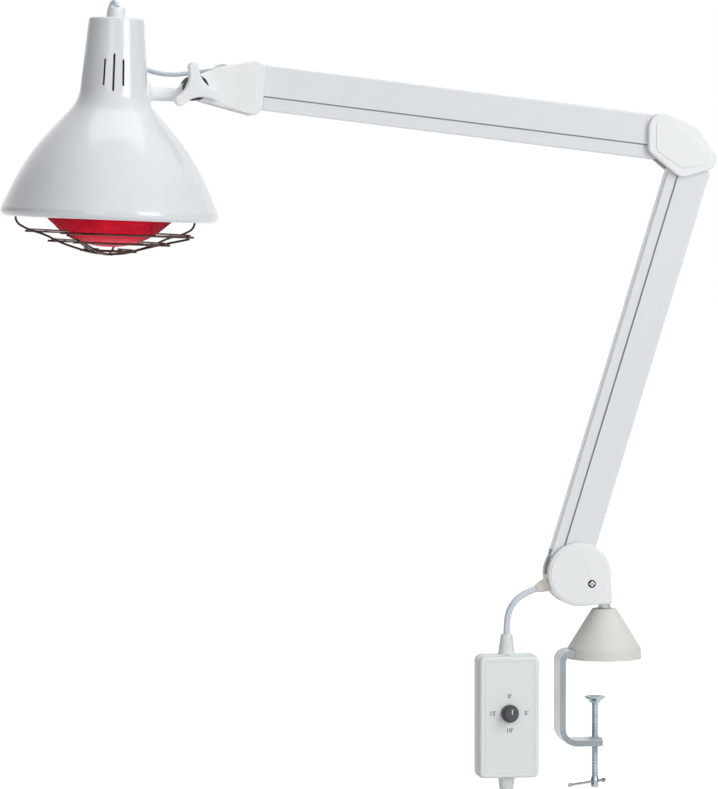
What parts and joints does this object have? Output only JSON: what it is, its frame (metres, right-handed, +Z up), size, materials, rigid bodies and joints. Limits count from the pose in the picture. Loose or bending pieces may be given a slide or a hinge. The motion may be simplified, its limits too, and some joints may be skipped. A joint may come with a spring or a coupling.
{
  "type": "infrared heat therapy lamp",
  "caption": "White clamp-on infrared heat lamp: bell shade over a red reflector bulb with a wire guard, spring-balanced two-part arm, table clamp, timer box on its mains lead.",
  "frame": {"origin": "on the swivel axis, in the plane of the upper jaw's lower face, which rests on the table top", "axes": "+Z up along the swivel axis, the arms in the XZ plane with the head on the -X side, and the front covers, the hand nut and the timer's dial towards -Y"},
  "size_m": [0.7192, 0.216, 0.9825],
  "materials": {
    "white_enamel": "gloss",
    "white_cast": "white paint, gloss",
    "white_plastic": "satin",
    "cream_plastic": "matt",
    "grey_enamel": "satin grey paint",
    "zinc_steel": "zinc plated",
    "chrome": "polished",
    "nickel_wire": "dark nickel",
    "black_rubber": "matt",
    "nylon": "natural",
    "ruby_glass": "red infrared envelope",
    "cap_brass": "bright",
    "tungsten": "bright",
    "black_phenolic": "gloss",
    "grey_cable": "smooth sheath",
    "timer_plastic": "fine texture",
    "knob_grey": "satin"
  },
  "bodies": {
    "clamp": {"clamp_frame": "grey_enamel", "pin_socket": "zinc_steel", "socket_bush": "nylon", "jaw_pad": "black_rubber", "cone_cover": "cream_plastic"},
    "pad": {"clamp_pad": "zinc_steel"},
    "spindle": {"clamp_spindle": "zinc_steel"},
    "tommy": {"tommy_bar": "zinc_steel"},
    "turret": {"swivel_pin": "chrome", "base_bracket": "white_cast", "lead_bush": "white_plastic", "disc_cover_front": "white_plastic", "disc_cover_back": "white_plastic", "cover_screw": "chrome", "base_pins": "zinc_steel", "timer_lead": "grey_cable", "timer_base": "timer_plastic", "timer_lid": "timer_plastic", "timer_unit": "nylon", "timer_reliefs": "grey_cable", "timer_screws": "zinc_steel", "mains_lead": "grey_cable", "mains_coil": "grey_cable", "cord_tie": "white_plastic", "plug_body": "grey_cable", "plug_pins": "chrome"},
    "dial": {"timer_knob": "knob_grey", "timer_shaft": "nylon"},
    "lower_outer": {"lower_outer_channel": "white_enamel", "lower_spring": "zinc_steel", "lower_spring_pin": "zinc_steel"},
    "lower_inner": {"lower_inner_channel": "white_enamel"},
    "elbow": {"elbow_frame": "white_cast", "elbow_cap_front": "white_plastic", "elbow_cap_back": "white_plastic", "elbow_pins": "zinc_steel"},
    "upper_outer": {"upper_outer_channel": "white_enamel", "upper_spring": "zinc_steel", "upper_spring_pin": "zinc_steel"},
    "upper_inner": {"upper_inner_channel": "white_enamel"},
    "bracket": {"head_bracket": "white_cast", "lead_grommet": "black_rubber", "bracket_cover_front": "white_plastic", "bracket_cover_back": "white_plastic", "bracket_pins": "zinc_steel", "clamp_bolt": "zinc_steel", "knuckle_washers": "black_rubber"},
    "head": {"head_stub": "white_cast", "stub_screws": "zinc_steel", "shade": "white_enamel", "top_gland": "white_plastic", "holder_tube": "zinc_steel", "lampholder": "black_phenolic", "bulb_glass": "ruby_glass", "bulb_cap": "cap_brass", "bulb_filament": "tungsten", "guard": "nickel_wire", "guard_clips": "zinc_steel", "head_lead": "grey_cable"},
    "wing": {"wing_knob": "white_plastic"}
  },
  "joints": [
    {"name": "swivel", "type": "hinge", "parent": "clamp", "child": "turret", "pos_m": [0, 0, 0.03], "axis": [0, 0, 1], "range_deg": [-180, 180]},
    {"name": "pad_slide", "type": "slide", "parent": "clamp", "child": "pad", "axis": [0, 0, 1], "range_m": [-0.03, 0.029]},
    {"name": "spindle_turn", "type": "hinge", "parent": "pad", "child": "spindle", "pos_m": [-0.0094, 0, -0.09], "axis": [0, 0, 1], "range_deg": [-7201, 6961]},
    {"name": "tommy_slide", "type": "slide", "parent": "spindle", "child": "tommy", "axis": [-0.7547, -0.6561, 0], "range_m": [-0.0345, 0.0085]},
    {"name": "timer_dial", "type": "hinge", "parent": "turret", "child": "dial", "pos_m": [-0.0994, -0.02, -0.0531], "axis": [0, -1, 0], "range_deg": [-270, 0]},
    {"name": "lower_arm", "type": "hinge", "parent": "turret", "child": "lower_outer", "pos_m": [-0.0303, 0, 0.09435], "axis": [0, 1, 0], "range_deg": [-42, 23], "deforming": ["lower_spring"]},
    {"name": "lower_link", "type": "hinge", "parent": "turret", "child": "lower_inner", "pos_m": [-0.04865, 0, 0.10001], "axis": [0, 1, 0], "range_deg": [-42, 23]},
    {"name": "elbow_low", "type": "hinge", "parent": "lower_outer", "child": "elbow", "pos_m": [0.09355, 0, 0.49567], "axis": [0, 1, 0], "range_deg": [-23, 42]},
    {"name": "upper_arm", "type": "hinge", "parent": "elbow", "child": "upper_outer", "pos_m": [0.05579, 0, 0.53396], "axis": [0, 1, 0], "range_deg": [-27, 33], "deforming": ["upper_spring"]},
    {"name": "upper_link", "type": "hinge", "parent": "elbow", "child": "upper_inner", "pos_m": [0.05312, 0, 0.51212], "axis": [0, 1, 0], "range_deg": [-27, 33]},
    {"name": "bracket_level", "type": "hinge", "parent": "upper_outer", "child": "bracket", "pos_m": [-0.36113, 0, 0.58478], "axis": [0, 1, 0], "range_deg": [-33, 27]},
    {"name": "head_tilt", "type": "hinge", "parent": "bracket", "child": "head", "pos_m": [-0.41622, 0, 0.57345], "axis": [0, 1, 0], "range_deg": [-40, 75], "deforming": ["head_lead"]},
    {"name": "wing_turn", "type": "hinge", "parent": "bracket", "child": "wing", "pos_m": [-0.41622, -0.02, 0.57345], "axis": [0, 1, 0], "range_deg": [-180, 180]}
  ],
  "couplings": [
    {"joint": "spindle_turn", "follows": "pad_slide", "rad_per_m": 4188.8},
    {"joint": "lower_link", "follows": "lower_arm", "ratio": 1},
    {"joint": "elbow_low", "follows": "lower_arm", "ratio": -1},
    {"joint": "upper_link", "follows": "upper_arm", "ratio": 1},
    {"joint": "bracket_level", "follows": "upper_arm", "ratio": -1}
  ]
}
